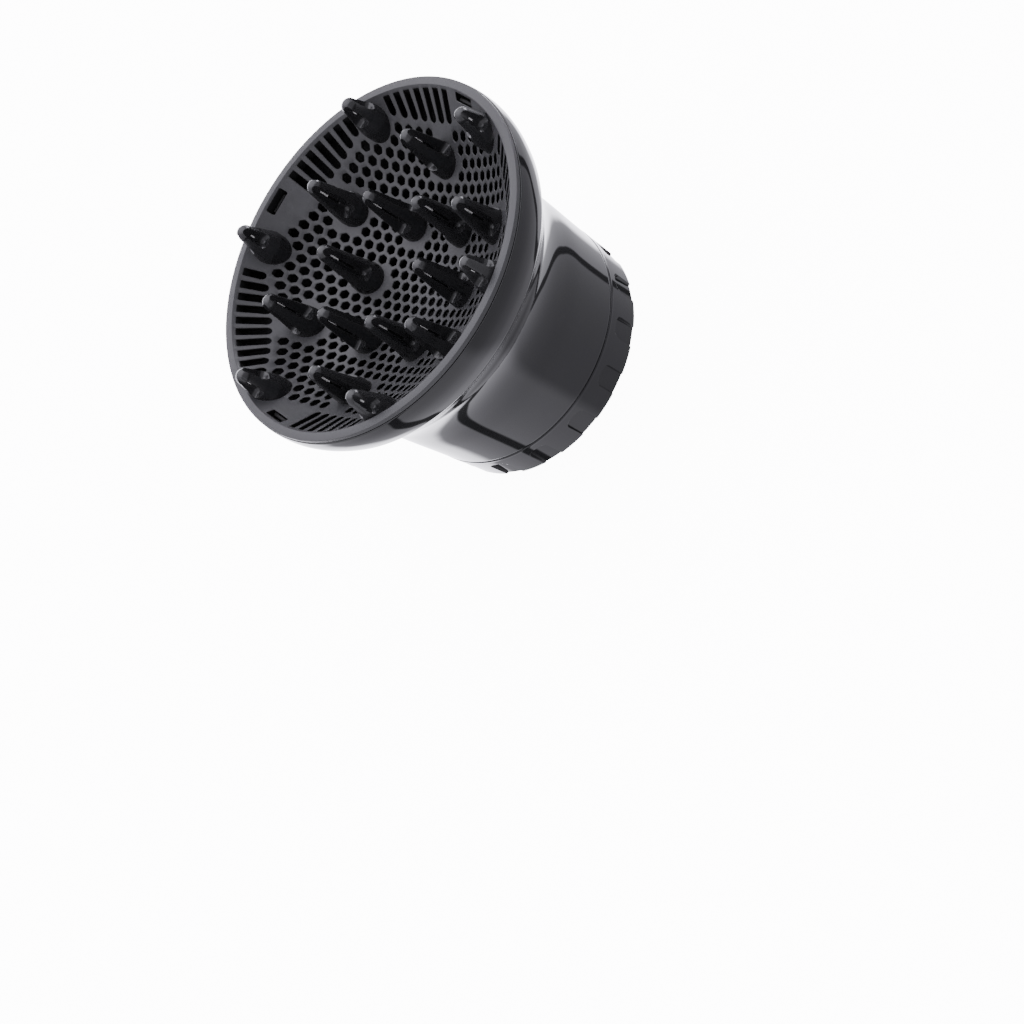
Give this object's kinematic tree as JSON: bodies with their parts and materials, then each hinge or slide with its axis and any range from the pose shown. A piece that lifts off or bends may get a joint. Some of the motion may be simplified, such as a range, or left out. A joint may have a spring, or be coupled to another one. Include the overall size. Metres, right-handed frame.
{
  "type": "hair dryer diffuser",
  "caption": "Bowl-shaped hair dryer diffuser with hollow fingers, a perforated dish and a turning grip ring that closes jaws on the dryer's barrel.",
  "frame": {"origin": "centre of the grip ring's rear face, on the diffuser's axis", "axes": "+Z along the axis, out of the bowl; +X through a latch window and between two fingers"},
  "size_m": [0.166, 0.166, 0.1216],
  "materials": {
    "gloss_black": "polished moulded plastic",
    "satin_grey": "fine satin texture",
    "finger_black": "semi-gloss moulded plastic",
    "nylon_black": "plain moulded nylon",
    "rubber_black": "soft silicone rubber",
    "zinc_steel": "zinc plated",
    "spring_steel": "oil tempered wire"
  },
  "bodies": {
    "shell": {"outer_shell": "gloss_black", "bowl_plate": "satin_grey", "finger_inner_1": "finger_black", "finger_inner_2": "finger_black", "finger_inner_3": "finger_black", "finger_inner_4": "finger_black", "finger_inner_5": "finger_black", "finger_inner_6": "finger_black", "finger_middle_1": "finger_black", "finger_middle_2": "finger_black", "finger_middle_3": "finger_black", "finger_middle_4": "finger_black", "finger_middle_5": "finger_black", "finger_middle_6": "finger_black", "finger_outer_1": "finger_black", "finger_outer_2": "finger_black", "finger_outer_3": "finger_black", "finger_outer_4": "finger_black", "finger_outer_5": "finger_black", "finger_outer_6": "finger_black", "nozzle_stop": "nylon_black", "stop_seal": "rubber_black", "guide_plate": "nylon_black", "snap_ring": "spring_steel", "guide_screw_1": "zinc_steel", "guide_screw_2": "zinc_steel", "guide_screw_3": "zinc_steel", "guide_screw_4": "zinc_steel", "guide_screw_5": "zinc_steel", "guide_screw_6": "zinc_steel", "stop_screw_1": "zinc_steel", "stop_screw_2": "zinc_steel", "stop_screw_3": "zinc_steel"},
    "collar": {"grip_ring": "gloss_black", "cam_ring": "nylon_black"},
    "jaw_1": {"jaw_1": "nylon_black", "jaw_pad_1": "rubber_black"},
    "jaw_2": {"jaw_2": "nylon_black", "jaw_pad_2": "rubber_black"},
    "jaw_3": {"jaw_3": "nylon_black", "jaw_pad_3": "rubber_black"},
    "jaw_4": {"jaw_4": "nylon_black", "jaw_pad_4": "rubber_black"},
    "jaw_5": {"jaw_5": "nylon_black", "jaw_pad_5": "rubber_black"},
    "jaw_6": {"jaw_6": "nylon_black", "jaw_pad_6": "rubber_black"}
  },
  "joints": [
    {"name": "collar_turn", "type": "hinge", "parent": "shell", "child": "collar", "pos_m": [0, 0, 0], "axis": [0, 0, 1], "range_deg": [-30, 30]},
    {"name": "jaw_1_slide", "type": "slide", "parent": "shell", "child": "jaw_1", "axis": [-1, 0, 0], "range_m": [-0.0051, 0.0051]},
    {"name": "jaw_2_slide", "type": "slide", "parent": "shell", "child": "jaw_2", "axis": [-0.5, -0.866, 0], "range_m": [-0.0051, 0.0051]},
    {"name": "jaw_3_slide", "type": "slide", "parent": "shell", "child": "jaw_3", "axis": [0.5, -0.866, 0], "range_m": [-0.0051, 0.0051]},
    {"name": "jaw_4_slide", "type": "slide", "parent": "shell", "child": "jaw_4", "axis": [1, 0, 0], "range_m": [-0.0051, 0.0051]},
    {"name": "jaw_5_slide", "type": "slide", "parent": "shell", "child": "jaw_5", "axis": [0.5, 0.866, 0], "range_m": [-0.0051, 0.0051]},
    {"name": "jaw_6_slide", "type": "slide", "parent": "shell", "child": "jaw_6", "axis": [-0.5, 0.866, 0], "range_m": [-0.0051, 0.0051]}
  ],
  "couplings": [
    {"joint": "jaw_1_slide", "follows": "collar_turn", "m_per_rad": 0.0095493},
    {"joint": "jaw_2_slide", "follows": "collar_turn", "m_per_rad": 0.0095493},
    {"joint": "jaw_3_slide", "follows": "collar_turn", "m_per_rad": 0.0095493},
    {"joint": "jaw_4_slide", "follows": "collar_turn", "m_per_rad": 0.0095493},
    {"joint": "jaw_5_slide", "follows": "collar_turn", "m_per_rad": 0.0095493},
    {"joint": "jaw_6_slide", "follows": "collar_turn", "m_per_rad": 0.0095493}
  ]
}
